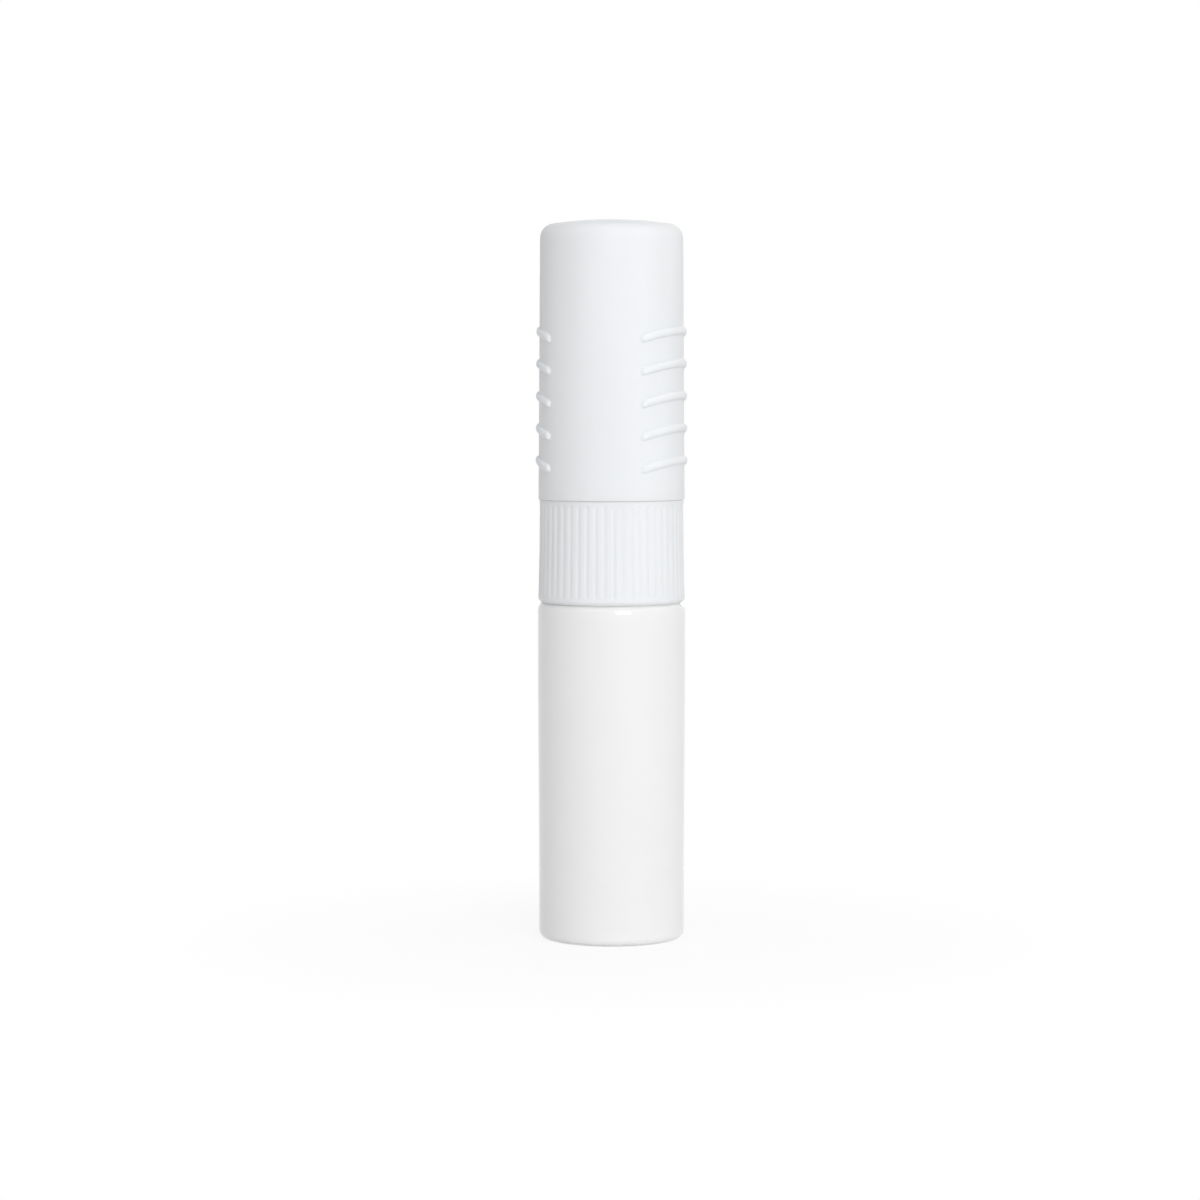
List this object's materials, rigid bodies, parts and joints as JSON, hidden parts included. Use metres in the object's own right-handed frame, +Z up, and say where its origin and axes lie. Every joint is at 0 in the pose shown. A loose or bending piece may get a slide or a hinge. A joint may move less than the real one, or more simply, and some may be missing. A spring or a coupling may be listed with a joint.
{
  "type": "nail art pen",
  "caption": "Nail art pen: lacquer bottle, fluted screw collar with a liner brush below and a needle nozzle above, and a long screw cap with arched grip ribs.",
  "frame": {"origin": "centre of the bottle's base, on the plane that the pen stands on", "axes": "+Z up along the pen's axis, from the bottle to the cap; -Y towards the viewer of the picture; the cap's grip ribs lie near +X and -X"},
  "size_m": [0.0164, 0.016, 0.0778],
  "materials": {
    "bottle_gloss": "glossy clear wall over white lacquer",
    "wiper_plastic": "natural polyethylene",
    "ball_steel": "polished steel",
    "gasket_foam": "white foamed plastic",
    "collar_satin": "satin white",
    "stem_plastic": "satin natural plastic",
    "ferrule_steel": "drawn steel",
    "tuft_nylon": "nylon hair",
    "nozzle_plastic": "glossy white plastic",
    "needle_steel": "drawn steel tube",
    "cap_satin": "satin white",
    "insert_plastic": "white plastic",
    "seal_rubber": "soft white rubber",
    "pin_steel": "steel wire"
  },
  "bodies": {
    "bottle_body": {"bottle": "bottle_gloss", "wiper": "wiper_plastic"},
    "ball_front": {"mixing_ball_front": "ball_steel"},
    "ball_rear": {"mixing_ball_rear": "ball_steel"},
    "collar_liner": {"collar_gasket": "gasket_foam"},
    "collar_unit": {"collar": "collar_satin", "brush_stem": "stem_plastic", "brush_ferrule": "ferrule_steel", "brush_tuft": "tuft_nylon", "nozzle": "nozzle_plastic", "needle_tube": "needle_steel"},
    "cap_seal": {"tip_seal": "seal_rubber", "cleaning_pin": "pin_steel"},
    "cap_unit": {"cap": "cap_satin", "cap_insert": "insert_plastic"}
  },
  "joints": [
    {"name": "ball_front_rise", "type": "slide", "parent": "bottle_body", "child": "ball_front", "axis": [0, 0, 1], "range_m": [0, 0.027]},
    {"name": "ball_rear_rise", "type": "slide", "parent": "bottle_body", "child": "ball_rear", "axis": [0, 0, 1], "range_m": [0, 0.027]},
    {"name": "collar_lift", "type": "slide", "parent": "bottle_body", "child": "collar_liner", "axis": [0, 0, 1], "range_m": [0, 0.044]},
    {"name": "collar_twist", "type": "hinge", "parent": "collar_liner", "child": "collar_unit", "pos_m": [0, 0, 0.03685], "axis": [0, 0, 1], "range_deg": [0, 540]},
    {"name": "cap_lift", "type": "slide", "parent": "collar_unit", "child": "cap_seal", "axis": [0, 0, 1], "range_m": [0, 0.024]},
    {"name": "cap_twist", "type": "hinge", "parent": "cap_seal", "child": "cap_unit", "pos_m": [0, 0, 0.0479], "axis": [0, 0, 1], "range_deg": [0, 450]}
  ]
}
